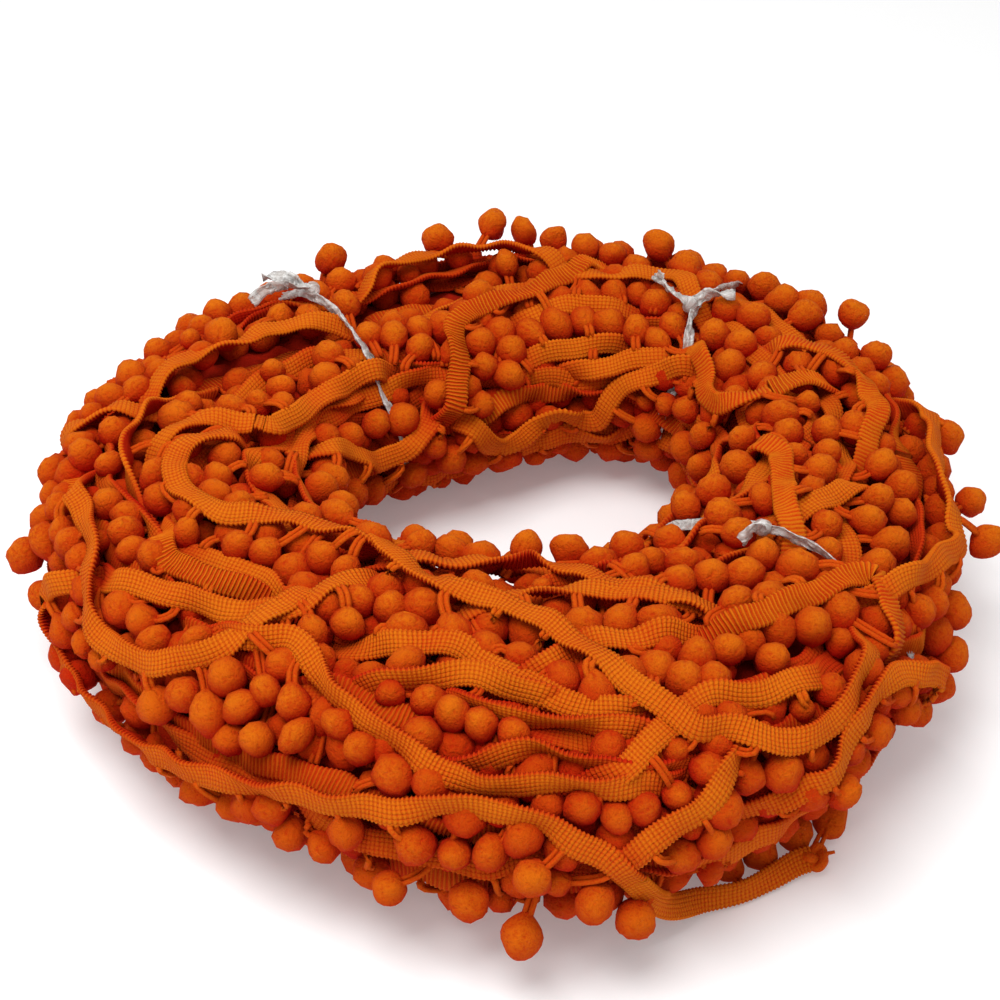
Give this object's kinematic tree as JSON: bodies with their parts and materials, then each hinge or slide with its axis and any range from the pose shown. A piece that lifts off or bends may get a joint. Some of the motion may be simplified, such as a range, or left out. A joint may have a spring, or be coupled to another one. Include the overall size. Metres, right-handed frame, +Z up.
{
  "type": "hank of pompom fringe trim",
  "caption": "A long woven braid with pompoms hanging from one edge, wound by hand into a soft ring and tied round with strips of plastic film.",
  "frame": {"origin": "middle of the hank's bounding box in plan, on the surface it lies on", "axes": "+Z up, through the hole of the ring; +X to the right and -Y to the front of the pictured view"},
  "size_m": [0.2662, 0.2655, 0.0684],
  "materials": {
    "trim_yarn": "soft matt felted and woven yarn",
    "tie_film": "thin crumpled translucent film"
  },
  "bodies": {
    "root": {"hank": "trim_yarn", "loose_end": "trim_yarn", "tie_1": "tie_film", "tie_2": "tie_film", "tie_3": "tie_film"}
  },
  "joints": []
}
